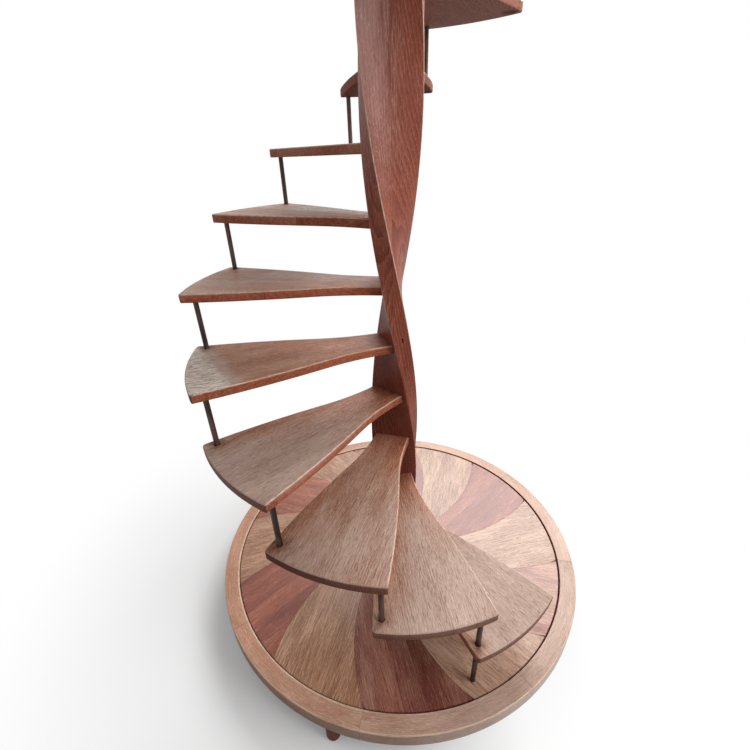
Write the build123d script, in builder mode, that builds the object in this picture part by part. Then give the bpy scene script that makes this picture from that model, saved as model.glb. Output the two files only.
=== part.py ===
from build123d import *
import os
from math import cos, radians, sin

# Spiral stair on a round base. One beam, twisted along its length, carries every tread.
# Millimetres and degrees. The origin is on the ground, on the axis of the beam, and +Z is up.
# A bearing is an angle about the axis, counter-clockwise from +X seen from above.

# ---- Driving dimensions ----

# The climb
tread_count = 11
first_rise = 211  # from the base's floor to the top of the first tread
rise = 200  # from each tread to the next
turn = 26.9  # clockwise turn from each tread to the next, going up
first_bearing = -53.3  # bearing of the first tread's middle line

# The treads, fans cut from thick board
tread_radius = 695
tread_lap = 4  # how far each tread's outer edge overlaps the next tread's, as an angle
tread_thickness = 30
tread_neck = 132  # width where the tread leaves the beam
neck_length = 40  # from the axis to where the neck starts to flare
flare_length = 220
flare_slope = 16  # angle of the sides where the flare ends
back_corner = 12

# The beam
beam_width = 170
beam_depth = 60
beam_lead = 2.7  # the beam's wide face is turned this far ahead of the tread on it
beam_above = 200  # from the last tread's top to the beam's end
housing_depth = 35  # how far each tread runs into the beam's wide face
tenon_width = 130
tenon_depth = 40

# The steel rods, each from one tread's back corner up to the next tread's front corner
rod_diameter = 17
rod_inset = 42  # from the treads' outer edge to the rods' middles
rod_seat = 12  # how far a rod's foot is let into the tread or floor it stands on
rod_clearance = 0.2

# The base: a rim built up from segments, with a ledge inside that carries an inlaid floor
rim_reach = 77  # how far the rim's outer face stands out beyond the treads
rim_width = 61
rim_height = 60
rim_proud = 4  # the rim's top above the floor
rim_segments = 8
rim_first_joint = -99
ledge_width = 20
floor_gap = 3  # open joint between the floor and the rim
floor_thickness = 30
sector_count = 12
first_sector = -69  # where the rim end of one sector's edge lies
bearer_width = 140

# The feet, turned pegs under the rim
foot_count = 4
foot_bearing = -106.8
foot_diameter = 50
foot_height = 80

# ---- Heights and places worked out from them ----

rim_bottom = foot_height
rim_top = rim_bottom + rim_height
floor_top = rim_top - rim_proud
floor_bottom = floor_top - floor_thickness
bearer_thickness = floor_bottom - rim_bottom
rim_radius = tread_radius + rim_reach
rim_inner = rim_radius - rim_width
floor_radius = rim_inner - floor_gap
foot_radius = rim_radius - foot_diameter / 2
bearer_length = 2 * foot_radius
first_top = floor_top + first_rise
last_top = first_top + (tread_count - 1) * rise
beam_top = last_top + beam_above
tread_span = turn + tread_lap
rod_radius = tread_radius - rod_inset


def spot(radius, bearing):
    """The point at a radius and a bearing."""
    return (radius * cos(radians(bearing)), radius * sin(radians(bearing)))


def level(height, bearing):
    """A level plane with its X axis along a bearing."""
    return Plane(origin=(0, 0, height), x_dir=(*spot(1, bearing), 0), z_dir=(0, 0, 1))


def upright(bearing):
    """The plane through the axis at a bearing: X is the radius and Y the height."""
    return Plane(origin=(0, 0, 0), x_dir=(*spot(1, bearing), 0), z_dir=(*spot(1, bearing - 90), 0))


def tread_bearing(number):
    return first_bearing - (number - 1) * turn


def tread_top(number):
    return first_top + (number - 1) * rise


def beam_bearing(height):
    """Where the beam's tread-carrying face points at a height."""
    return first_bearing + beam_lead - turn * (height - first_top) / rise


def rod_bearing(number):
    """The rod that stands on a tread, halfway to the next one. Rod 0, on the floor, is under rod 1."""
    return tread_bearing(max(number, 1)) - turn / 2


os.makedirs("parts", exist_ok=True)


def write(piece, name):
    piece.part.label = name
    export_step(piece.part, f"parts/{name}.step")


# ---- The beam ----
# A rectangular section turned at the treads' own rate as it rises, so each tread meets its wide
# face. Each tread's end has a housing, and a tenon goes down through the floor and the bearers.

with BuildPart() as beam:
    with BuildSketch(level(floor_top, beam_bearing(floor_top))) as beam_section:
        Rectangle(beam_depth, beam_width)
    twist = -turn * (beam_top - floor_top) / rise
    add(
        Solid.extrude_linear_with_rotation(
            beam_section.sketch.face(), (0, 0, floor_top), (0, 0, beam_top - floor_top), twist
        )
    )
    for number in range(1, tread_count + 1):
        with BuildSketch(level(tread_top(number), tread_bearing(number))):
            with Locations((beam_depth / 2 - housing_depth, 0)):
                Rectangle(2 * beam_depth, tread_neck, align=(Align.MIN, Align.CENTER))
        extrude(amount=-tread_thickness, mode=Mode.SUBTRACT)
    with BuildSketch(level(floor_top, beam_bearing(floor_top))):
        Rectangle(tenon_depth, tenon_width)
    extrude(amount=rim_bottom - floor_top)
write(beam, "twisted_beam")


# ---- The treads ----


def tread_outline(radius, span):
    """Half a tread's plan, front side: a parallel neck, a hollow flare and a long easy curve."""
    flare_end = (
        neck_length + flare_length,
        tread_neck / 2 + flare_length * (1 - cos(radians(flare_slope))) / sin(radians(flare_slope)),
    )
    inner = (beam_depth / 2 - housing_depth, 0)
    Line(inner, (inner[0], tread_neck / 2))
    Line((inner[0], tread_neck / 2), (neck_length, tread_neck / 2))
    TangentArc((neck_length, tread_neck / 2), flare_end, tangent=(1, 0))
    TangentArc(flare_end, spot(radius, span / 2), tangent=spot(1, flare_slope))
    CenterArc((0, 0), radius, 0, span / 2)


for number in range(1, tread_count + 1):
    here = level(tread_top(number), tread_bearing(number))
    with BuildPart() as tread:
        with BuildSketch(here) as plan:
            with BuildLine():
                tread_outline(tread_radius, tread_span)
                mirror(about=Plane.XZ)
            make_face()
            fillet(plan.vertices().sort_by(Axis.Y)[0], back_corner)
        extrude(amount=-tread_thickness)
        if number < tread_count:
            with Locations(here.location * Location((*spot(rod_radius, -turn / 2), 0))):
                Hole(rod_diameter / 2 + rod_clearance, depth=rod_seat)
    write(tread, f"tread_{number:02d}")


# ---- The rods ----

for number in range(tread_count):
    low = (tread_top(number) if number else floor_top) - rod_seat
    high = tread_top(number + 1) - tread_thickness
    with BuildPart() as rod:
        with BuildSketch(Plane.XY.offset(low)):
            with Locations(spot(rod_radius, rod_bearing(number))):
                Circle(rod_diameter / 2)
        extrude(amount=high - low)
    write(rod, f"rod_{number + 1:02d}")


# ---- The floor ----
# Twelve swirling sectors in two woods. Each edge is an arc of the floor's own radius that starts
# at the centre, so one compass setting draws them all.


def sector_edge(rim_end):
    """The arc from the centre to the rim at a bearing. Its own centre is on the rim as well."""
    CenterArc(spot(floor_radius, rim_end + 60), floor_radius, rim_end + 240, 60)


sector_angle = 360 / sector_count
for name, first in (("floor_sectors_light", 0), ("floor_sectors_red", 1)):
    with BuildPart() as sectors:
        with BuildSketch(Plane.XY.offset(floor_bottom)):
            for index in range(first, sector_count, 2):
                start = first_sector + index * sector_angle
                with BuildLine():
                    sector_edge(start)
                    CenterArc((0, 0), floor_radius, start, sector_angle)
                    sector_edge(start + sector_angle)
                make_face()
            with Locations(Location((0, 0, 0), (0, 0, beam_bearing(floor_top)))):
                Rectangle(tenon_depth, tenon_width, mode=Mode.SUBTRACT)
        extrude(amount=floor_thickness)
        with Locations((*spot(rod_radius, rod_bearing(0)), floor_top)):
            Hole(rod_diameter / 2 + rod_clearance, depth=rod_seat)
    write(sectors, name)


# ---- The bearers ----
# Two planks under the floor, halved where they cross, with the beam's tenon through both. Each
# end is housed in the rim and lies over the middle of a foot.


def bearer_plan(bearing):
    with Locations(Location((0, 0, 0), (0, 0, bearing))):
        Rectangle(bearer_length, bearer_width)


for name, bearing, lap in (
    ("bearer_upper", foot_bearing, rim_bottom),
    ("bearer_lower", foot_bearing + 90, rim_bottom + bearer_thickness / 2),
):
    with BuildPart() as bearer:
        with BuildSketch(Plane.XY.offset(rim_bottom)):
            bearer_plan(bearing)
        extrude(amount=bearer_thickness)
        with BuildSketch(level(lap, bearing)):
            Rectangle(bearer_width, bearer_width)
        extrude(amount=bearer_thickness / 2, mode=Mode.SUBTRACT)
        with BuildSketch(level(rim_bottom, beam_bearing(floor_top))):
            Rectangle(tenon_depth, tenon_width)
        extrude(amount=bearer_thickness, mode=Mode.SUBTRACT)
    write(bearer, name)


# ---- The rim and the feet ----
# Segments butted end to end, with a ledge under the floor, in two sets of every other one. The
# feet are pegs set under the rim's outer edge.

segment_angle = 360 / rim_segments
for name, first in (("rim_segments_odd", 0), ("rim_segments_even", 1)):
    with BuildPart() as segments:
        for index in range(first, rim_segments, 2):
            with BuildSketch(upright(rim_first_joint + index * segment_angle)):
                with Locations((rim_inner, rim_bottom)):
                    Rectangle(rim_width, rim_height, align=Align.MIN)
                    Rectangle(ledge_width, floor_bottom - rim_bottom, align=(Align.MAX, Align.MIN))
            revolve(axis=Axis.Z, revolution_arc=segment_angle)
        with BuildSketch(Plane.XY.offset(rim_bottom)):
            bearer_plan(foot_bearing)
            bearer_plan(foot_bearing + 90)
        extrude(amount=bearer_thickness, mode=Mode.SUBTRACT)
    write(segments, name)

with BuildPart() as feet:
    with BuildSketch():
        with PolarLocations(foot_radius, foot_count, start_angle=foot_bearing):
            Circle(foot_diameter / 2)
    extrude(amount=foot_height)
write(feet, "feet")
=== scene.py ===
import random
from math import atan2, ceil, cos, hypot, pi, radians, sin

import bmesh
import bpy
from mathutils import Matrix, Vector


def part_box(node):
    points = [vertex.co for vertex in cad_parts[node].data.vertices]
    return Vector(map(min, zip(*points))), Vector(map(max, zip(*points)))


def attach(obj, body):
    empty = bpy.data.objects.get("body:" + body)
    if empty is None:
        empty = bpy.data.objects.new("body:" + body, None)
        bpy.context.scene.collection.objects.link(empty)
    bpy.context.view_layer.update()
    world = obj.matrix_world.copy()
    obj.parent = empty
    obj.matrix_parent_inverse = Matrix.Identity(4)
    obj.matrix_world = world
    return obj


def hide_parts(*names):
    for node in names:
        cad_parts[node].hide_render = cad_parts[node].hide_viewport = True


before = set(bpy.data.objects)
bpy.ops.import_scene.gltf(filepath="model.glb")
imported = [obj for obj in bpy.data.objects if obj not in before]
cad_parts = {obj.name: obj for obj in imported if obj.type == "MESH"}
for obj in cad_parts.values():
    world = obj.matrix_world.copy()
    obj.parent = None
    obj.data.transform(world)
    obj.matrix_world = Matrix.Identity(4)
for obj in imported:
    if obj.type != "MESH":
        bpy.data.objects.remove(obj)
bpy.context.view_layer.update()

# Lengths are metres and angles radians. A bearing is an angle about the beam's axis,
# counter-clockwise from +X seen from above.

# ---- The feet ----
# Four pegs under the rim's edge, turned from the same hardwood as the beam and glued up into it.
# The lathe leaves the end rounded over so that it doesn't splinter when the base is dragged.

FOOT_END_ROUND = 0.010
FOOT_TOP_ROUND = 0.0015
NEAR = 1e-4  # closer than this counts as touching
CRISP = radians(38)  # edges sharper than this are shaded as edges
LOG_STEP = 7.3  # a board from further along the log also comes from this much further across it


def blank():
    """An empty shape, with room for each vertex's place in its board, its wear, dirt, painted sheen
    and shade, and end grain.
    """
    shape = bmesh.new()
    shape.verts.layers.float_vector.new("grain")
    for name in ("wear_and_sheen", "arris", "dirt_and_shade", "stain"):
        shape.verts.layers.float.new(name)
    shape.faces.layers.float.new("end")
    return shape


def from_node(name):
    """A copy of a CAD node's shape with its loose triangles joined and its flat faces whole."""
    shape = blank()
    shape.from_mesh(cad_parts[name].data)
    bmesh.ops.remove_doubles(shape, verts=shape.verts, dist=2e-6)
    bmesh.ops.dissolve_limit(shape, angle_limit=radians(0.4), verts=shape.verts, edges=shape.edges,
                             use_dissolve_boundaries=False)
    return shape


def round_over(shape, edges, width, steps=3):
    """Takes the sharpness off edges, as the plane and abrasive paper do."""
    bmesh.ops.bevel(shape, geom=list(edges), offset=width, offset_type="OFFSET", segments=steps,
                    profile=0.5, affect="EDGES", material=-1, clamp_overlap=True)


def lay_grain(shape, along, shift=0.0, verts=None):
    """Gives each vertex its place in its board: X along the grain, Y across it and Z through it."""
    layer = shape.verts.layers.float_vector["grain"]
    if len(along) == 2:
        to_board = Matrix.Rotation(-atan2(along[1], along[0]), 3, "Z")
    else:
        to_board = Vector(along).to_track_quat("X", "Z").to_matrix().transposed()
    for vert in verts or shape.verts:
        place = to_board @ vert.co
        vert[layer] = (place.x + shift, place.y + LOG_STEP * shift, place.z)


def loose(name, shape):
    """Puts the shape in the scene as it is, riding on nothing yet."""
    mesh = bpy.data.meshes.new(name)
    shape.to_mesh(mesh)
    shape.free()
    piece = bpy.data.objects.new(name, mesh)
    bpy.context.scene.collection.objects.link(piece)
    return piece


def part_piece(name, shape, material, slot, *nodes):
    """Makes the shape a piece on the one body, in place of its CAD node."""
    bmesh.ops.dissolve_degenerate(shape, dist=3e-5, edges=shape.edges)
    bmesh.ops.recalc_face_normals(shape, faces=shape.faces)
    for face in shape.faces:
        face.smooth = True
    for edge in shape.edges:
        edge.smooth = not (len(edge.link_faces) == 2 and edge.calc_face_angle(0) > CRISP)
    piece = loose(name, shape)
    piece.data.materials.append(material)
    even = piece.modifiers.new("even_shading", "WEIGHTED_NORMAL")
    even.keep_sharp = True
    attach(piece, "root")
    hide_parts(*nodes)


def colour(hexa):
    """An sRGB hex colour as Blender's linear one."""
    parts = [int(hexa[i:i + 2], 16) / 255 for i in (1, 3, 5)]
    return (*[c / 12.92 if c < 0.04045 else ((c + 0.055) / 1.055) ** 2.4 for c in parts], 1)


def add(tree, kind, inputs, **settings):
    """Adds a shader node and returns its outputs. An input given a socket is linked, and one given
    a value is set. Sockets that share a name go by number: a colour Mix has its factor at 0, its
    colours at 6 and 7 and its result at 2, and a MapRange goes from 1 and 2 to 3 and 4."""
    node = tree.nodes.new("ShaderNode" + kind)
    for key, value in settings.items():
        setattr(node, key, value)
    for key, value in inputs.items():
        if isinstance(value, bpy.types.NodeSocket):
            tree.links.new(value, node.inputs[key])
        else:
            node.inputs[key].default_value = value
    return node.outputs


def wood(name, deep, mid, pale, wear_and_sheen="#c0a28c", edge="#c4a693", grime_and_shade="#2b1a14", board=9.0,
         ring=0.007, pith=(0.03, 0.07), lean=0.02, board_tone=0.2, ring_tone=0.3, streak_tone=0.45,
         pore_tone=0.5, fleck_tone=0.15, rough=0.5, gloss=0.35, coat=0.0, relief=0.0005):
    """Planed wood. The rings are cut through at the board's own lean, so a wide face shows long
    arches; fibres and open pores run along it. The piece says how worn, dirty and stained it is at
    each place, where a painted sheen pales it and painted shade darkens it, and where its arrises
    (pale from rubbing, and on the beam a painted highlight) and end grain are. board and ring are
    widths in metres, and pith is where the log's heart lies off the board."""
    material = bpy.data.materials.new(name)
    material.use_nodes = True
    tree = material.node_tree
    tree.nodes.clear()
    place = add(tree, "Attribute", {}, attribute_name="grain")["Vector"]
    wear_and_sheen_at, arris_at, dirt_and_shade_at, stain_at, end_at = [
        add(tree, "Attribute", {}, attribute_name=key)["Fac"]
        for key in ("wear_and_sheen", "arris", "dirt_and_shade", "stain", "end")]
    # Boards side by side: each has its own tone and comes from its own place in the log.
    across = add(tree, "SeparateXYZ", {0: place})["Y"]
    across = add(tree, "Math", {0: across, 1: board}, operation="DIVIDE")[0]
    number = add(tree, "Math", {0: across}, operation="FLOOR")[0]
    chance = add(tree, "TexWhiteNoise", {"W": number}, noise_dimensions="1D")
    log = add(tree, "VectorMath", {0: chance["Color"], 1: (3.0, 0.10, 0.05), 2: place},
              operation="MULTIPLY_ADD")[0]
    # Slow sway of the grain, about 8 mm to either side.
    sway = add(tree, "VectorMath", {0: log, 1: (2.2, 7.0, 7.0)}, operation="MULTIPLY")[0]
    sway = add(tree, "TexNoise", {"Vector": sway, "Scale": 1.0, "Detail": 2.0})["Color"]
    bent = add(tree, "VectorMath", {0: sway, 1: (0.0, 0.030, 0.022), 2: log},
               operation="MULTIPLY_ADD")[0]
    turned = add(tree, "Mapping", {"Vector": bent, "Location": (0.0, *pith),
                                   "Rotation": (0.0, lean, lean * 0.6)})[0]
    # A Wave at scale 1 repeats every 0.31416 units, so this one has a ring every ring's width.
    rings = add(tree, "TexWave", {"Vector": turned, "Scale": 0.31416 / ring, "Distortion": 1.6,
                                  "Detail": 3.0, "Detail Scale": 1.6},
                wave_type="RINGS", rings_direction="X", wave_profile="SAW")["Fac"]
    # Streaks about 3 mm by 90 mm, pores 1.3 mm by 30 mm and flecks 1.2 mm by 17 mm, all some four
    # times real size so that they show, and blotches 80 mm by 250 mm. The numbers are how often
    # each repeats in a metre along the grain, across it and through it.
    marks = []
    for often in ((11.0, 330.0, 330.0), (34.0, 760.0, 760.0), (60.0, 800.0, 800.0),
                  (4.0, 12.0, 12.0)):
        at = add(tree, "VectorMath", {0: bent, 1: often}, operation="MULTIPLY")[0]
        marks.append(add(tree, "TexNoise", {"Vector": at, "Scale": 1.0, "Detail": 2.0})["Fac"])
    streak, pores, flecks, blotch = marks
    pore = add(tree, "MapRange", {0: pores, 1: 0.54, 2: 0.66}, interpolation_type="SMOOTHSTEP")[0]
    fleck = add(tree, "MapRange", {0: flecks, 1: 0.54, 2: 0.68}, interpolation_type="SMOOTHSTEP")[0]
    # One number from deep to pale: blotch, streak, ring, board and fleck each push it off its rest.
    tone = add(tree, "MapRange", {0: blotch, 1: 0.3, 2: 0.7, 3: 0.32, 4: 0.68})[0]
    for pattern, rest, weight in ((streak, 0.5, streak_tone * 2), (rings, 0.45, -ring_tone),
                                  (chance["Value"], 0.5, board_tone),
                                  (fleck, 0.15, fleck_tone * 2)):
        off = add(tree, "Math", {0: pattern, 1: rest}, operation="SUBTRACT")[0]
        tone = add(tree, "Math", {0: off, 1: weight, 2: tone}, operation="MULTIPLY_ADD")[0]
    low = add(tree, "MapRange", {0: tone, 1: 0.0, 2: 0.5})[0]
    high = add(tree, "MapRange", {0: tone, 1: 0.5, 2: 1.0})[0]
    look = add(tree, "Mix", {0: low, 6: colour(deep), 7: colour(mid)}, data_type="RGBA")[2]
    look = add(tree, "Mix", {0: high, 6: look, 7: colour(pale)}, data_type="RGBA")[2]
    # Where feet have worn the finish off, the wood has greyed, soonest along its softer fibres.
    # The same mask also carries painted sheen, which pales the wood the same way.
    bare_and_sheen = add(tree, "Math", {0: streak, 1: 0.7, 2: wear_and_sheen_at}, operation="MULTIPLY_ADD")[0]
    bare_and_sheen = add(tree, "Math", {0: blotch, 1: 0.8, 2: bare_and_sheen}, operation="MULTIPLY_ADD")[0]
    paling = add(tree, "Math", {0: fleck, 1: 0.3, 2: bare_and_sheen}, operation="MULTIPLY_ADD")[0]
    bare_and_sheen = add(tree, "MapRange", {0: paling, 1: 0.80, 2: 1.70},
               interpolation_type="SMOOTHSTEP")[0]
    grey = add(tree, "MapRange", {0: tone, 1: 0.1, 2: 0.9, 3: 0.70, 4: 1.0})[0]
    grey = add(tree, "Mix", {0: grey, 6: (0, 0, 0, 1), 7: colour(wear_and_sheen)}, data_type="RGBA")[2]
    look = add(tree, "Mix", {0: bare_and_sheen, 6: look, 7: grey}, data_type="RGBA")[2]
    # Past that, weather bleaches it to silver; on the seventh tread's back this silver is a painted
    # reflection.
    bleach_and_glare = add(tree, "MapRange", {0: paling, 1: 1.85, 2: 2.25},
                   interpolation_type="SMOOTHSTEP")[0]
    look = add(tree, "Mix", {0: bleach_and_glare, 6: look, 7: colour("#e6d6c8")}, data_type="RGBA")[2]
    # Old oil stains it red, and rubbing leaves the arrises pale; on the beam the pale arris is a
    # painted highlight, and on the rim partly one.
    look = add(tree, "Mix", {0: stain_at, 6: look, 7: colour("#ffb3a2")}, data_type="RGBA",
               blend_type="MULTIPLY")[2]
    pale_edge = add(tree, "MapRange", {0: streak, 1: 0.3, 2: 0.6, 3: 0.35, 4: 1.0})[0]
    pale_edge = add(tree, "Math", {0: arris_at, 1: pale_edge}, operation="MULTIPLY")[0]
    look = add(tree, "Mix", {0: pale_edge, 6: look, 7: colour(edge)}, data_type="RGBA")[2]
    # The glue line between boards is drawn 1.4 mm wide, wider than the real one, so that it shows.
    seam = add(tree, "Math", {0: across}, operation="FRACT")[0]
    seam = add(tree, "Math", {0: seam, 1: 0.5}, operation="SUBTRACT")[0]
    seam = add(tree, "Math", {0: seam}, operation="ABSOLUTE")[0]
    seam = add(tree, "Math", {0: seam, 1: 0.5 - 0.0007 / board}, operation="GREATER_THAN")[0]
    # Bleached wood has opened in long fine cracks; they are drawn under the painted reflection too.
    crack = add(tree, "Math", {0: streak, 1: 0.47}, operation="SUBTRACT")[0]
    crack = add(tree, "Math", {0: crack}, operation="ABSOLUTE")[0]
    crack = add(tree, "MapRange", {0: crack, 1: 0.018, 2: 0.04, 3: 1.0, 4: 0.0})[0]
    crack = add(tree, "Math", {0: crack, 1: bleach_and_glare}, operation="MULTIPLY")[0]
    # Pores, glue lines, end grain, dirt, painted shade and cracks all darken.
    dark = 0.0
    for pattern, weight in ((pore, pore_tone * 0.6), (seam, 0.25), (end_at, 0.5), (dirt_and_shade_at, 0.6),
                            (crack, 0.9)):
        dark = add(tree, "Math", {0: pattern, 1: weight, 2: dark}, operation="MULTIPLY_ADD",
                   use_clamp=True)[0]
    look = add(tree, "Mix", {0: dark, 6: look, 7: colour(grime_and_shade)}, data_type="RGBA")[2]
    # The pores and glue lines are sunk.
    height = add(tree, "Math", {0: pore, 1: -0.7, 2: streak}, operation="MULTIPLY_ADD")[0]
    height = add(tree, "Math", {0: seam, 1: -0.6, 2: height}, operation="MULTIPLY_ADD")[0]
    normal = add(tree, "Bump", {"Strength": 0.8, "Distance": relief, "Height": height})[0]
    # Bare wood, open pores, stain and dirt are duller than the finish, and dirt has no wax on it.
    # The painted sheen and painted shade carried in the same masks are duller and unwaxed too.
    dull = add(tree, "Math", {0: bare_and_sheen, 1: 0.14, 2: rough}, operation="MULTIPLY_ADD")[0]
    for pattern, weight in ((pore, 0.10), (stain_at, 0.30), (dirt_and_shade_at, 0.25)):
        dull = add(tree, "Math", {0: pattern, 1: weight, 2: dull}, operation="MULTIPLY_ADD",
                   use_clamp=True)[0]
    film = add(tree, "Math", {0: dirt_and_shade_at, 1: -coat, 2: coat}, operation="MULTIPLY_ADD",
               use_clamp=True)[0]
    shader = add(tree, "BsdfPrincipled", {"Base Color": look, "Roughness": dull, "Normal": normal,
                                          "IOR": 1.45, "Specular IOR Level": gloss,
                                          "Coat Weight": film, "Coat Roughness": 0.3})[0]
    add(tree, "OutputMaterial", {"Surface": shader})
    return material


# Stained dark and waxed: the pores hardly show, and it has a low even sheen.
foot_wood = wood("dark_stained_hardwood", "#5a3125", "#774736", "#915f4a", pore_tone=0.4,
                 rough=0.45)
shape = from_node("feet")
ground = min(vert.co.z for vert in shape.verts)
round_over(shape, [e for e in shape.edges if max(v.co.z for v in e.verts) < ground + NEAR],
           FOOT_END_ROUND, 5)
top = max(vert.co.z for vert in shape.verts)
round_over(shape, [e for e in shape.edges if min(v.co.z for v in e.verts) > top - NEAR],
           FOOT_TOP_ROUND, 2)
lay_grain(shape, (0, 0, 1))
part_piece("turned_feet", shape, foot_wood, "foot_wood", "feet")

# ---- The bearers ----
# Two planks halved where they cross under the floor, planed and left unfinished because nobody
# sees them. The beam's tenon is wedged through both.

FOOT_BEARING = radians(-106.8)

# Strong growth rings, small pores, and a dry matt surface.
underframe_wood = wood("planed_unfinished_softwood", "#84654b", "#9d7d5f", "#b39473", ring=0.009,
                       ring_tone=0.7, pore_tone=0.15, rough=0.62)
for node, bearing in (("bearer_upper", FOOT_BEARING), ("bearer_lower", FOOT_BEARING + pi / 2)):
    shape = from_node(node)
    lay_grain(shape, (cos(bearing), sin(bearing)), shift=bearing)
    part_piece(node + "_plank", shape, underframe_wood, "underframe_wood", node)

# ---- The rim ----
# Eight felloes sawn from straight tan hardwood, butted end to end with a loose tongue and turned
# true as one ring. The outer edge is well rounded, the inner arris only eased.

FELLOE_COUNT = 8
FELLOE = radians(45)
FELLOE_STEPS = 24
RIM_WIDTH = 0.061
LEDGE_WIDTH = 0.020
RIM_OUTER_ROUND = 0.006
RIM_UNDER_ROUND = 0.003
RIM_INNER_ROUND = 0.001
RIM_INNER_BAND = 0.004  # the inner arris carries a painted highlight and painted shade this far in
RIM_BAND_FADE = 0.003
RIM_JOINT_EASE = 0.0007
RIM_FIRST_JOINT = radians(-99)
RIM_WORN = radians(-50)
# Where the joint is darkest, and how dark: dirt, with painted shade at the back right, where the
# rim's inner wall faces away from the light.
JOINT_SHADIEST = radians(20)
JOINT_DIRT_AND_SHADE = 1.6
BEARER_WIDTH = 0.140
BEARER_END = 0.025
BAR_LENGTH = 0.2  # the cutter for a bearer's end reaches this far in from it

# Fine short pores, few streaks, and a thin wax that shines a little where it is left.
rim_wood = wood("waxed_tan_hardwood", "#966e55", "#b98c70", "#d9b49a", wear_and_sheen="#d2b09e",
                edge="#ecd2ba", grime_and_shade="#5e2a18", ring=0.006, pith=(0.05, 0.04), lean=0.01,
                board_tone=0.35, ring_tone=0.2, streak_tone=0.36, pore_tone=0.5, fleck_tone=0.25,
                rough=0.42, gloss=0.1, coat=0.75)
floor_low, floor_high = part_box("floor_sectors_light")


def turn(shape, verts, angle):
    """Turns the vertices about the beam's axis."""
    bmesh.ops.rotate(shape, cent=(0, 0, 0), matrix=Matrix.Rotation(angle, 3, "Z"), verts=verts)


def cut(piece, cutter):
    """Cuts the cutter out of the piece, and returns the shape that is left."""
    tool = piece.modifiers.new("cut", "BOOLEAN")
    tool.operation, tool.solver, tool.object = "DIFFERENCE", "EXACT", cutter
    bpy.context.view_layer.update()
    graph = bpy.context.evaluated_depsgraph_get()
    left = blank()
    left.from_mesh(bpy.data.meshes.new_from_object(piece.evaluated_get(graph)))
    bpy.data.objects.remove(piece)
    bpy.data.objects.remove(cutter)
    return left


def solids(shape):
    """The separate solids in a shape, each as a list of its vertices."""
    left, found = set(shape.verts), []
    while left:
        group, waiting = [], [left.pop()]
        while waiting:
            vert = waiting.pop()
            group.append(vert)
            for edge in vert.link_edges:
                other = edge.other_vert(vert)
                if other in left:
                    left.remove(other)
                    waiting.append(other)
        found.append(group)
    return found


def joint_dirt_and_shade(bearing):
    """Dirt in the joint between rim and floor, and painted shade where the rim's inner wall faces
    away from the light: most at the back right, least opposite.
    """
    return JOINT_DIRT_AND_SHADE * (0.6 + 0.4 * cos(bearing - JOINT_SHADIEST))


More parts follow.
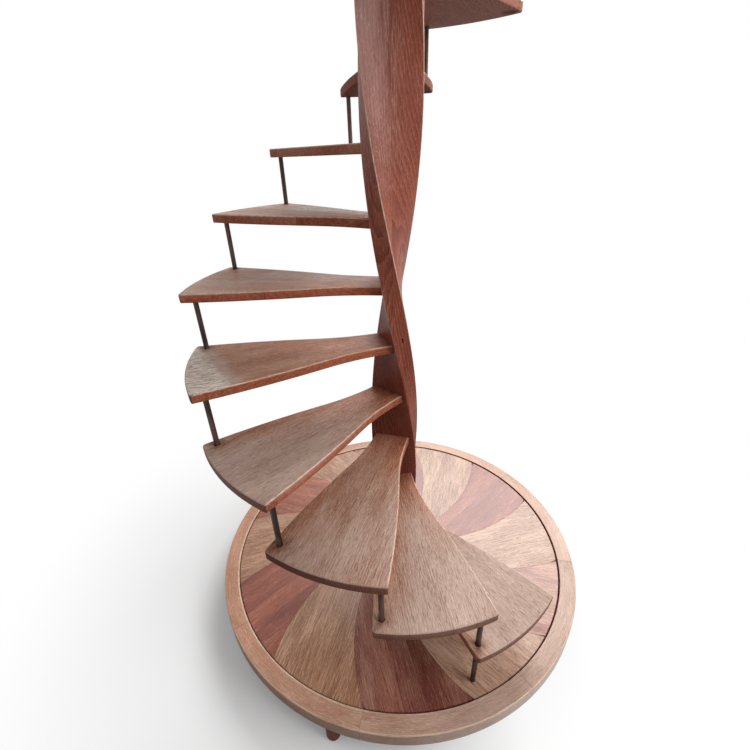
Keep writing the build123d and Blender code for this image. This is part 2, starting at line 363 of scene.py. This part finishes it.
for node, first in (("rim_segments_odd", 0), ("rim_segments_even", 1)):
    low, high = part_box(node)
    outer = max(hypot(v.co.x, v.co.y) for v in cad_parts[node].data.vertices)
    inner = outer - RIM_WIDTH
    shape = blank()
    # The section, drawn across the ring, is swept round by one felloe's length, four times.
    for index in range(first, FELLOE_COUNT, 2):
        section = [shape.verts.new((radius, 0, height)) for radius, height in (
            (inner - LEDGE_WIDTH, low.z), (outer, low.z), (outer, high.z),
            (inner + RIM_INNER_BAND + RIM_BAND_FADE, high.z), (inner + RIM_INNER_BAND, high.z),
            (inner, high.z), (inner, floor_low.z), (inner - LEDGE_WIDTH, floor_low.z))]
        shape.faces.new(section)
        for corner, width, steps in ((1, RIM_UNDER_ROUND, 3), (2, RIM_OUTER_ROUND, 4),
                                     (5, RIM_INNER_ROUND, 2)):
            bmesh.ops.bevel(shape, geom=[section[corner]], offset=width, offset_type="OFFSET",
                            segments=steps, profile=0.5, affect="VERTICES", material=-1)
        face = next(f for f in shape.faces if all(abs(v.co.y) < 1e-6 for v in f.verts))
        edges = list(face.edges)
        bmesh.ops.delete(shape, geom=[face], context="FACES_ONLY")
        # Its long sides are cut into five, so that they can carry wear.
        bmesh.ops.subdivide_edges(shape, edges=[e for e in edges if e.calc_length() > 0.03], cuts=4)
        edges = [e for e in shape.edges if e.is_wire]
        turn(shape, list({v for e in edges for v in e.verts}), RIM_FIRST_JOINT + index * FELLOE)
        bmesh.ops.spin(shape, geom=edges, cent=(0, 0, 0), axis=(0, 0, 1), angle=FELLOE,
                       steps=FELLOE_STEPS, use_merge=False, use_normal_flip=False,
                       use_duplicate=False)
    gaps = [e for e in shape.edges if e.is_boundary]
    ends = bmesh.ops.holes_fill(shape, edges=gaps, sides=0)["faces"]
    bmesh.ops.recalc_face_normals(shape, faces=shape.faces)
    round_over(shape, {e for f in ends for e in f.edges}, RIM_JOINT_EASE, 1)
    # The bearers' ends are let into it from below, up to a hair past the ledge.
    bars = bmesh.new()
    bar_size = (BAR_LENGTH, BEARER_WIDTH, 2 * (floor_low.z - low.z) + 2e-5)
    for quarter in range(4):
        bar = bmesh.ops.create_cube(bars, size=1)["verts"]
        bmesh.ops.scale(bars, vec=bar_size, verts=bar)
        bmesh.ops.translate(bars, vec=(outer - BEARER_END - BAR_LENGTH / 2, 0, low.z), verts=bar)
        turn(bars, bar, FOOT_BEARING + quarter * pi / 2)
    shape = cut(loose("felloes", shape), loose("bars", bars))
    grain = shape.verts.layers.float_vector["grain"]
    wear_and_sheen, arris, dirt_and_shade, stain = (shape.verts.layers.float[key]
                                for key in ("wear_and_sheen", "arris", "dirt_and_shade", "stain"))
    for group in solids(shape):
        # The grain follows the bend, and each felloe comes from another board.
        middle = sum((v.co for v in group), Vector()) / len(group)
        back = Matrix.Rotation(-atan2(middle.y, middle.x), 3, "Z")
        shift = 3 * atan2(middle.y, middle.x)
        for vert in group:
            place = back @ vert.co
            radius = hypot(place.x, place.y)
            along = outer * atan2(place.y, place.x)
            vert[grain] = (along + shift, radius + LOG_STEP * shift, place.z)
            bearing = atan2(vert.co.y, vert.co.x)
            below = high.z - vert.co.z
            if below < RIM_INNER_ROUND * 0.9 and radius < inner + RIM_INNER_BAND + 1e-3:
                # A painted highlight on the left, where the inner edge faces the light, and painted
                # shade at the back right, where it faces away.
                out_of_shade = cos(bearing - JOINT_SHADIEST) < 0.5
                vert[arris] = 0.7 * max(0.0, -cos(bearing)) + (0.2 if out_of_shade else 0.0)
                if radius < inner + RIM_INNER_BAND - 1e-3:
                    vert[dirt_and_shade] = 1.2 * max(0.0, cos(bearing - JOINT_SHADIEST) - 0.3)
            elif below < RIM_OUTER_ROUND * 0.9 and radius > outer - RIM_OUTER_ROUND * 0.9:
                # Pale along the rounded outer edge: some rubbing, and a painted highlight.
                vert[arris] = 0.45
            elif radius < inner + 5e-4:
                # Dirt in the joint, with painted shade on the inner wall at the back right.
                vert[dirt_and_shade] = joint_dirt_and_shade(bearing)
            # Steps onto the first tread have worn the wax at the front right. The left is redder.
            vert[wear_and_sheen] = 0.7 * max(0.0, cos(bearing - RIM_WORN))
            vert[stain] = 0.18 * max(0.0, -cos(bearing))
            # Dirt fills the joint between two felloes.
            felloes = (bearing - RIM_FIRST_JOINT) / FELLOE
            from_joint = abs((felloes + 0.5) % 1 - 0.5) * FELLOE * radius
            if from_joint < 0.5 * RIM_JOINT_EASE:
                vert[dirt_and_shade] = 1.0
    part_piece(node.replace("segments", "felloes"), shape, rim_wood, "rim_wood", node)

# ---- The floor ----
# Twelve swirling sectors in two woods, light and red, each glued up from narrow boards and sawn to
# one compass arc. Flushed off, waxed, and let in with an open joint all round.

FLOOR_EASE = 0.0008
JOINT_DARK_BAND = 0.0016
BOARD_WIDTH = 0.072
GRAIN_LEAN = radians(10)
SECTOR_OUTER = 0.70  # vertices past this radius are on a sector's outer arc
SAME_BEARING = 0.1
DARK_SECTOR = radians(-84)
# The red sector that a painted sheen pales.
GLARE_RED_SECTOR = radians(-24)
WORN_SECTOR = radians(-54)
# Where a painted sheen pales the light sectors most.
GLARE_SIDE = radians(10)

# Long open pores and strong streaks, under a full coat of wax.
floor_light_wood = wood("waxed_light_hardwood", "#7f543c", "#a5785a", "#c29877", wear_and_sheen="#d5b099",
                        grime_and_shade="#54291a", board=BOARD_WIDTH, ring=0.005, board_tone=0.16,
                        ring_tone=0.2, streak_tone=1.0, pore_tone=1.0, fleck_tone=0.25, rough=0.40,
                        gloss=0.1, coat=1.0)
# Denser and redder: its streaks and pores are half as strong, and its boards differ more in tone.
floor_red_wood = wood("waxed_red_brown_hardwood", "#622b1f", "#8f4d38", "#b36e52", wear_and_sheen="#cfa38f",
                      grime_and_shade="#451c1b", board=BOARD_WIDTH, ring=0.006, board_tone=0.25,
                      ring_tone=0.2, streak_tone=0.5, pore_tone=0.45, rough=0.40, gloss=0.1,
                      coat=1.0)

for node, material, slot in (("floor_sectors_light", floor_light_wood, "floor_light_wood"),
                             ("floor_sectors_red", floor_red_wood, "floor_red_wood")):
    shape = from_node(node)
    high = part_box(node)[1]
    round_over(shape, [e for e in shape.edges if min(v.co.z for v in e.verts) > high.z - NEAR
                       and e.calc_face_angle(0) > 1], FLOOR_EASE, 1)
    # Old wax and dirt fill the open joint and darken the boards' ends in a narrow band beside it,
    # with painted shade added at the back right; so each sector's top gets two rings of narrow
    # faces round its edge.
    for _ in range(2):
        tops = [f for f in shape.faces if f.normal.z > 0.999 and len(f.verts) > 4]
        bmesh.ops.inset_region(shape, faces=tops, thickness=JOINT_DARK_BAND, use_even_offset=True)
    wear_and_sheen, dirt_and_shade = shape.verts.layers.float["wear_and_sheen"], shape.verts.layers.float["dirt_and_shade"]
    outer = max(hypot(v.co.x, v.co.y) for v in shape.verts)
    for vert in shape.verts:
        if hypot(vert.co.x, vert.co.y) > outer - FLOOR_EASE - 1.2 * JOINT_DARK_BAND:
            vert[dirt_and_shade] = joint_dirt_and_shade(atan2(vert.co.y, vert.co.x))
    for group in solids(shape):
        far = [v.co for v in group if hypot(v.co.x, v.co.y) > SECTOR_OUTER]
        middle = sum(far, Vector()) / len(far)
        bearing = atan2(middle.y, middle.x)
        sector_wear_and_sheen, grime_and_shade = 0.0, 0.0
        if slot == "floor_light_wood":
            # Paler towards the right: some wear, and a painted sheen where the lamp behind glares.
            sector_wear_and_sheen = 0.12 + 0.2 * max(0.0, cos(bearing - GLARE_SIDE))
            # The one beside the first tread, where people step on, is worn most.
            if abs(bearing - WORN_SECTOR) < SAME_BEARING:
                sector_wear_and_sheen = 0.55
        # The red one at the front is darker, and greyed by a painted sheen.
        elif abs(bearing - DARK_SECTOR) < SAME_BEARING:
            sector_wear_and_sheen, grime_and_shade = 0.28, 0.55
        # The red one at the right is paled by a painted sheen.
        elif abs(bearing - GLARE_RED_SECTOR) < SAME_BEARING:
            sector_wear_and_sheen = 0.5
        for vert in group:
            vert[wear_and_sheen] = sector_wear_and_sheen
            vert[dirt_and_shade] += grime_and_shade
        lean = bearing + GRAIN_LEAN
        lay_grain(shape, (cos(lean), sin(lean)), shift=bearing, verts=group)
    part_piece(node.replace("sectors", "boards"), shape, material, slot, node)

# ---- The beam ----
# One squared trunk of reddish-brown hardwood, sawn and planed to a steady twist, its long arrises
# eased by hand. A housing is chopped in the wide face for each tread, and screws go in by the edge.

BEAM_WIDTH, BEAM_DEPTH = 0.170, 0.060
BEAM_ROUND = 0.0035
BEAM_STEPS = 200
TURN = radians(26.9)  # from each tread to the next
RISE = 0.200
FIRST_BEARING = radians(-53.3)
BEAM_LEAD = radians(2.7)  # at a tread's top the wide face looks this far off its bearing
TREAD_COUNT = 11
TREAD_NECK = 0.132
TREAD_THICK = 0.030
HOUSING_DEPTH = 0.035
HOUSING_LENGTH = 0.1  # the cutter reaches this far out from the housing's floor
SCREW_HOLE = 0.0038
SCREW_HOLE_DEPTH = 0.015
SCREW_LEVELS = (0.033, 0.041)  # above the fifth tread's middle
SCREW_OFFSET = 0.004  # off the middle of the edge face
TENON_WIDTH, TENON_DEPTH = 0.130, 0.040

# Wide arched rings with a slight sheen: faded pinkish above, which is a painted sheen, and
# nearly black-red at the foot, which is painted shade under the treads.
beam_wood = wood("oiled_reddish_brown_hardwood", "#6a2f1f", "#96503d", "#b87058", wear_and_sheen="#cf9b90",
                 edge="#ecc4aa", grime_and_shade="#3a0f08", ring=0.008, pith=(-0.15, 0.39), lean=0.15,
                 ring_tone=0.43, streak_tone=0.22, pore_tone=0.35, fleck_tone=0.18, rough=0.46,
                 gloss=0.2, relief=0.0004)
tread_tops = [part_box(f"tread_{n:02d}")[1].z for n in range(1, TREAD_COUNT + 1)]
beam_low, beam_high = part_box("twisted_beam")
floor_top = floor_high.z


def tread_bearing(number):
    return FIRST_BEARING - (number - 1) * TURN


def beam_bearing(height):
    """Where the beam's wide face looks at this height."""
    return FIRST_BEARING + BEAM_LEAD - TURN * (height - tread_tops[0]) / RISE


def clamp(value):
    return max(0.0, min(1.0, value))


def ramp(value, start, end):
    """Goes evenly from 0 at start to 1 at end, and no further on either side."""
    return clamp((value - start) / (end - start))


shape = blank()
bmesh.ops.create_grid(shape, x_segments=1, y_segments=1, size=0.5)
bmesh.ops.scale(shape, vec=(BEAM_DEPTH, BEAM_WIDTH, 1), verts=shape.verts)
bmesh.ops.bevel(shape, geom=shape.verts[:], offset=BEAM_ROUND, offset_type="OFFSET", segments=3,
                profile=0.5, affect="VERTICES", material=-1)
bmesh.ops.delete(shape, geom=shape.faces[:], context="FACES_ONLY")
# The long sides are cut into twelve and the short ones into five, so that they can carry wear.
for side, cuts in ((0.1, 11), (0.04, 4)):
    sides = [e for e in shape.edges if e.calc_length() > side]
    bmesh.ops.subdivide_edges(shape, edges=sides, cuts=cuts)
turn(shape, shape.verts, beam_bearing(floor_top))
bmesh.ops.translate(shape, vec=(0, 0, floor_top), verts=shape.verts)
length = beam_high.z - floor_top
bmesh.ops.spin(shape, geom=shape.edges[:], cent=(0, 0, 0), axis=(0, 0, 1),
               dvec=(0, 0, length / BEAM_STEPS), angle=-TURN * length / RISE, steps=BEAM_STEPS,
               use_merge=False, use_normal_flip=False, use_duplicate=False)
bmesh.ops.holes_fill(shape, edges=[e for e in shape.edges if e.is_boundary], sides=0)
bmesh.ops.recalc_face_normals(shape, faces=shape.faces)
trunk = loose("trunk", shape)
tools = bmesh.new()
for number in range(1, TREAD_COUNT + 1):
    middle = tread_tops[number - 1] - TREAD_THICK / 2
    housing = bmesh.ops.create_cube(tools, size=1)["verts"]
    bmesh.ops.scale(tools, vec=(HOUSING_LENGTH, TREAD_NECK, TREAD_THICK), verts=housing)
    bmesh.ops.translate(tools, vec=(BEAM_DEPTH / 2 - HOUSING_DEPTH + HOUSING_LENGTH / 2, 0, middle),
                        verts=housing)
    turn(tools, housing, tread_bearing(number))
# Above the fifth tread's middle two screws have lost their plugs on the outer edge face, which
# leaves a pair of holes. All the others are plugged and planed flush.
for above in SCREW_LEVELS:
    level = tread_tops[4] - TREAD_THICK / 2 + above
    hole = bmesh.ops.create_cone(tools, cap_ends=True, segments=16, radius1=SCREW_HOLE,
                                 radius2=SCREW_HOLE, depth=2 * SCREW_HOLE_DEPTH)["verts"]
    bmesh.ops.rotate(tools, cent=(0, 0, 0), matrix=Matrix.Rotation(pi / 2, 3, "X"), verts=hole)
    bmesh.ops.translate(tools, vec=(-SCREW_OFFSET, BEAM_WIDTH / 2, level), verts=hole)
    turn(tools, hole, beam_bearing(level))
shape = cut(trunk, loose("housings", tools))
grain = shape.verts.layers.float_vector["grain"]
wear_and_sheen, arris, dirt_and_shade = (shape.verts.layers.float[key] for key in ("wear_and_sheen", "arris", "dirt_and_shade"))
for vert in shape.verts:
    height = vert.co.z
    back = Matrix.Rotation(-beam_bearing(height), 3, "Z") @ vert.co
    vert[grain] = (height, vert.co.x, vert.co.y)
    across, through = abs(back.y) - BEAM_WIDTH / 2, abs(back.x) - BEAM_DEPTH / 2
    if min(across, through) > -BEAM_ROUND - NEAR and max(across, through) < -NEAR:
        # A painted highlight along the upper arrises.
        vert[arris] = ramp(height, 1.0, 1.4)
    # A painted sheen pales the top, one side most. Painted shade darkens it towards the foot,
    # under the treads, and inside the housings and holes.
    vert[wear_and_sheen] = ramp(height, 1.6, 2.0) * clamp(0.45 + 0.9 * back.y / (BEAM_WIDTH / 2))
    vert[dirt_and_shade] = 1.3 * ramp(height, 1.6, 0.3) ** 1.5 + 0.25 * ramp(height, 0.65, 0.35)
    if max(across, through) < -0.001:
        vert[dirt_and_shade] = 1.6
# The tenon under the floor is the trunk's own, cut narrower.
tenon = bmesh.ops.create_cube(shape, size=1)["verts"]
bmesh.ops.scale(shape, vec=(TENON_DEPTH, TENON_WIDTH, floor_top - beam_low.z), verts=tenon)
bmesh.ops.translate(shape, vec=(0, 0, (floor_top + beam_low.z) / 2), verts=tenon)
turn(shape, tenon, beam_bearing(floor_top))
for vert in tenon:
    vert[grain] = (vert.co.z, vert.co.y, vert.co.x)
part_piece("beam_trunk", shape, beam_wood, "beam_wood", "twisted_beam")

# ---- The treads ----
# Fans sawn from thick open-grained hardwood, three or four boards glued side by side, oiled. Each
# is housed in the beam; feet have worn the oil off the middle and front and left it grey.

TREAD_ROUND = 0.0045
NECK_END = 0.04  # the tread is parallel up to here, and then widens
FLARE = 0.19  # what half its width gains per length
END_GRAIN = 0.688  # from this radius out, a side face is the outer edge
END_STAIN = 0.680
SCORE = 0.022  # from one score to the next
ROD_HOLE = 0.0105
ROD_HOLE_DEPTH = 0.012

# Open pores that catch the light, boards of slightly different brown, and hardly any shine left.
tread_wood = wood("oiled_open_grained_hardwood", "#80492f", "#ae7554", "#ca9873", wear_and_sheen="#cbad9d",
                  edge="#ecd0b8", grime_and_shade="#4a1c10", board=0.125, ring=0.0075, pith=(0.04, 0.06),
                  board_tone=0.14, ring_tone=0.22, streak_tone=0.35, pore_tone=0.85,
                  fleck_tone=0.3, rough=0.42, gloss=0.3, relief=0.0008)
# How far each tread's finish has gone, from the first up, and how red its edges still are.
TREAD_WEAR = (0.95, 0.85, 0.62, 0.8, 0.3, 0.52, 0.45, 0.4, 0.5, 0.6, 0.4)
TREAD_RED = (0.35, 0.35, 0.5, 0.6, 0.65, 0.8, 0.55, 0.5, 0.6, 0.35, 0.6)
# How strongly a painted reflection of a bright window pales the backs of the sixth and seventh.
GLARE_BACK = {6: 0.6, 7: 1.5}

rng = random.Random(7)
for number in range(1, TREAD_COUNT + 1):
    node = f"tread_{number:02d}"
    bearing = tread_bearing(number)
    low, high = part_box(node)
    shape = from_node(node)
    # The underside has no hole in it, so it is the outline.
    above = [f for f in shape.faces if max(v.co.z for v in f.verts) > low.z + NEAR]
    bmesh.ops.delete(shape, geom=above, context="FACES")
    if len(shape.faces) > 1:
        bmesh.ops.dissolve_faces(shape, faces=shape.faces[:])
    turn(shape, shape.verts, -bearing)
    raised = bmesh.ops.extrude_face_region(shape, geom=shape.faces[:])["geom"]
    bmesh.ops.translate(shape, vec=(0, 0, high.z - low.z),
                        verts=[g for g in raised if isinstance(g, bmesh.types.BMVert)])
    bmesh.ops.recalc_face_normals(shape, faces=shape.faces)
    # Outside the housing all level edges are rounded, and the upright one at the front outer
    # corner. The back corner is round already.
    corner = max(shape.verts, key=lambda v: v.co.y + 0.2 * v.co.x).co.to_2d()
    rounded = [e for e in shape.edges if max(v.co.x for v in e.verts) > 0.01 and (
        abs(e.verts[0].co.z - e.verts[1].co.z) < 1e-5
        or all((v.co.to_2d() - corner).length < NEAR for v in e.verts))]
    round_over(shape, rounded, TREAD_ROUND, 3)
    # Scored both ways into small faces, which carry the wear. The scores keep off the corners.
    for axis, first, last in ((0, 0.0, 0.70), (1, -0.19, 0.19)):
        for step in range(ceil((last - first) / SCORE)):
            at, normal = [0, 0, 0], [0, 0, 0]
            at[axis] = first + (step + 0.37) * SCORE
            normal[axis] = 1
            bmesh.ops.bisect_plane(shape, geom=shape.verts[:] + shape.edges[:] + shape.faces[:],
                                   dist=1e-6, plane_co=at, plane_no=normal)
    grain = shape.verts.layers.float_vector["grain"]
    wear_and_sheen, arris, dirt_and_shade, stain = (shape.verts.layers.float[key]
                                for key in ("wear_and_sheen", "arris", "dirt_and_shade", "stain"))
    end = shape.faces.layers.float["end"]
    rod_spot = None
    if number < TREAD_COUNT:
        rod = number + 1
        a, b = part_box(f"rod_{rod:02d}")
        rod_spot = Matrix.Rotation(-bearing, 3, "Z") @ Vector(((a.x + b.x) / 2, (a.y + b.y) / 2, 0))
        rod_spot = rod_spot.to_2d()
    shift = rng.uniform(-3, 3)
    for vert in shape.verts:
        x, y = vert.co.x, vert.co.y
        half = TREAD_NECK / 2 + max(0.0, x - NECK_END) * FLARE
        vert[grain] = (x + shift, y + LOG_STEP * shift, vert.co.z)
        # Painted shade near the beam, in the corner under the tread above.
        vert[dirt_and_shade] = 0.45 * ramp(x, 0.10, 0.03)
        if vert.co.z > high.z - TREAD_ROUND - NEAR:
            # Feet land on the outer two thirds, and towards the front.
            forward = clamp((y + half) / (1.1 * half) + 2.7 * max(0.0, x - 0.5))
            outward = ramp(x, 0.10, 0.45)
            vert[wear_and_sheen] = TREAD_WEAR[number - 1] * (0.25 + 0.75 * outward) * (0.15 + 0.85 * forward)
        if vert.co.z < high.z - TREAD_ROUND + NEAR:
            # The edges and the underside keep their oil. The underside is darkened by painted
            # shade, the edges by a little dirt.
            vert[stain] = TREAD_RED[number - 1] * (1.0 if hypot(x, y) < END_STAIN else 0.4)
            vert[dirt_and_shade] += 0.15 if vert.co.z > low.z + NEAR else 0.5
            # The ninth, behind the beam, gets more painted shade on its edges and underside.
            if number == 9:
                vert[dirt_and_shade] += 0.55
        else:
            vert[stain] = 0.4 * max(0.0, 1 - x / 0.25)
            if number == 5:
                # Weather has bleached its outer end.
                vert[wear_and_sheen] += max(0.0, x - 0.56 + 0.3 * y) / 0.05
            elif number in GLARE_BACK:
                # A painted reflection of a bright window pales the back.
                backward = ramp(y, 0.25 * half, -0.25 * half)
                vert[wear_and_sheen] += GLARE_BACK[number] * min(ramp(x, 0.55, 0.45), backward)
        if number == 3:
            # The third has a dark water stain round its back outer corner.
            vert[dirt_and_shade] += 0.55 * ramp(hypot(x, y + 0.05), 0.50, 0.70) * ramp(y, 0.125, -0.125)
        if rod_spot:
            vert[dirt_and_shade] += ramp((Vector((x, y)) - rod_spot).length, 0.033, 0.009)
    for face in shape.faces:
        middle = face.calc_center_median()
        # End grain is darker; from the fifth tread up the extra darkening is painted shade.
        if abs(face.normal.z) < 0.5 and hypot(middle.x, middle.y) > END_GRAIN:
            face[end] = 1.0 if number < 5 else 1.4
    # The front arris is rubbed pale, the back one less, and the end grain hardly at all.
    for vert in shape.verts:
        if all(0.02 < f.normal.z < 0.999 for f in vert.link_faces):
            if hypot(vert.co.x, vert.co.y) > END_GRAIN:
                vert[arris] = 0.15
            else:
                vert[arris] = 0.7 if vert.co.y > 0 else 0.35
    turn(shape, shape.verts, bearing)
    if rod_spot:
        board = loose("board", shape)
        spot = Matrix.Rotation(bearing, 2) @ rod_spot
        hole = bmesh.new()
        bmesh.ops.create_cone(hole, cap_ends=True, segments=24, radius1=ROD_HOLE, radius2=ROD_HOLE,
                              depth=2 * ROD_HOLE_DEPTH)
        bmesh.ops.translate(hole, vec=(spot.x, spot.y, high.z), verts=hole.verts)
        shape = cut(board, loose("rod_hole", hole))
    part_piece(f"tread_board_{number:02d}", shape, tread_wood, "tread_wood", node)

# ---- The rods ----
# Round steel bar, oxidised dark and waxed, stood in a hole near each tread's back corner and
# butted under the next tread's front corner.

# A brown-black oxide skin, rubbed thin in long patches about 16 mm by 70 mm, where it is browner.
rod_steel = bpy.data.materials.new("dark_oxidised_steel")
rod_steel.use_nodes = True
tree = rod_steel.node_tree
tree.nodes.clear()
place = add(tree, "TexCoord", {})["Object"]
film = add(tree, "VectorMath", {0: place, 1: (60.0, 60.0, 14.0)}, operation="MULTIPLY")[0]
film = add(tree, "TexNoise", {"Vector": film, "Scale": 1.0, "Detail": 4.0})["Fac"]
scale = add(tree, "MapRange", {0: film, 1: 0.42, 2: 0.62}, interpolation_type="SMOOTHSTEP")[0]
look = add(tree, "Mix", {0: scale, 6: colour("#3b2e2b"), 7: colour("#654d43")}, data_type="RGBA")[2]
dull = add(tree, "MapRange", {0: film, 1: 0.35, 2: 0.65, 3: 0.42, 4: 0.62})[0]
normal = add(tree, "Bump", {"Strength": 0.5, "Distance": 0.0002, "Height": film})[0]
shader = add(tree, "BsdfPrincipled", {"Base Color": look, "Metallic": 0.75, "Roughness": dull,
                                      "Normal": normal})[0]
add(tree, "OutputMaterial", {"Surface": shader})
for number in range(1, TREAD_COUNT + 1):
    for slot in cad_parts[f"rod_{number:02d}"].material_slots:
        slot.link = "OBJECT"
        slot.material = rod_steel

# ---- Studio ----
# A plain pale floor and a white surround, one large soft lamp behind and to the right, a smaller
# one at the front right, and the even light of a white room.

FLOOR_SIZE = 30.0


def seen_as_white(tree, path):
    """1 for rays that look at the surround, also in a reflection or through glass, and 0 for
    those that carry its light to the stair."""
    seen = add(tree, "Math", {0: path["Is Camera Ray"], 1: path["Is Glossy Ray"]},
               operation="MAXIMUM")[0]
    return add(tree, "Math", {0: seen, 1: path["Is Transmission Ray"]}, operation="MAXIMUM")[0]


shape = bmesh.new()
bmesh.ops.create_grid(shape, x_segments=1, y_segments=1, size=FLOOR_SIZE)
studio_floor = loose("studio_floor", shape)
# Matt white paper. It takes the base's shadow near by on the left, and runs out to plain white
# further off and on the right.
paper = bpy.data.materials.new("white_paper")
paper.use_nodes = True
tree = paper.node_tree
tree.nodes.clear()
place = add(tree, "TexCoord", {})["Object"]
path = add(tree, "LightPath", {})
away = add(tree, "VectorMath", {0: place}, operation="LENGTH")["Value"]
blend = add(tree, "MapRange", {0: away, 1: 0.8, 2: 1.8, 3: 0.12, 4: 1.0},
            interpolation_type="SMOOTHSTEP")[0]
side = add(tree, "SeparateXYZ", {0: place})["X"]
side = add(tree, "MapRange", {0: side, 1: -0.05, 2: 0.45, 3: 0.0, 4: 0.9})[0]
blend = add(tree, "Math", {0: blend, 1: side}, operation="MAXIMUM")[0]
blend = add(tree, "Math", {0: blend, 1: seen_as_white(tree, path)}, operation="MULTIPLY")[0]
shade = add(tree, "MapRange", {0: path["Is Camera Ray"], 3: 0.16, 4: 0.86})[0]
lit = add(tree, "BsdfDiffuse", {"Color": shade})[0]
white = add(tree, "Emission", {"Color": (1, 1, 1, 1), "Strength": 1.0})[0]
add(tree, "OutputMaterial", {"Surface": add(tree, "MixShader", {0: blend, 1: lit, 2: white})[0]})
studio_floor.data.materials.append(paper)

# White where it is seen, and less than half as bright as a light.
world = bpy.data.worlds.new("white_room")
bpy.context.scene.world = world
world.use_nodes = True
tree = world.node_tree
tree.nodes.clear()
path = add(tree, "LightPath", {})
level = add(tree, "MapRange", {0: seen_as_white(tree, path), 3: 0.45, 4: 1.0})[0]
room = add(tree, "Background", {"Color": (1, 1, 1, 1), "Strength": level})[0]
add(tree, "OutputWorld", {"Surface": room})

# Bearings and lifts in degrees, distances and sizes in metres, power in watts.
for name, bearing, lift, away, size, energy in (("window_lamp", 70, 43, 5.0, (4.0, 2.4), 230),
                                                ("side_lamp", -25, 30, 4.5, (2.5, 2.5), 110)):
    lamp = bpy.data.lights.new(name, "AREA")
    lamp.shape = "RECTANGLE"
    lamp.size, lamp.size_y = size
    lamp.energy = energy
    stand = bpy.data.objects.new(name, lamp)
    bpy.context.scene.collection.objects.link(stand)
    bearing, lift = radians(bearing), radians(lift)
    aim = Vector((cos(bearing) * cos(lift), sin(bearing) * cos(lift), sin(lift)))
    stand.location = Vector((0, 0, 0.4)) + away * aim
    stand.rotation_euler = aim.to_track_quat("Z", "Y").to_euler()

# ---- Camera ----
# At a standing person's eye height, close in front, looking down at the base.

CAMERA_PLACE = (0.0, -1.3876, 1.7240)
YAW, PITCH, ROLL = -0.0711, 0.5086, 0.045

ahead = Vector((sin(YAW) * cos(PITCH), cos(YAW) * cos(PITCH), -sin(PITCH)))
right = Vector((cos(YAW), -sin(YAW), 0))
down = ahead.cross(right)
right, down = right * cos(ROLL) + down * sin(ROLL), down * cos(ROLL) - right * sin(ROLL)
lens = bpy.data.cameras.new("camera")
camera = bpy.data.objects.new("camera", lens)
bpy.context.scene.collection.objects.link(camera)
facing = Matrix((right, -down, -ahead)).transposed().to_4x4()
camera.matrix_world = Matrix.Translation(CAMERA_PLACE) @ facing
lens.sensor_width = 36
lens.lens = 20.29
lens.shift_x = 0.0099
lens.shift_y = 0.0162
lens.clip_start = 0.01
bpy.context.scene.camera = camera

bpy.context.scene.view_settings.view_transform = "Standard"
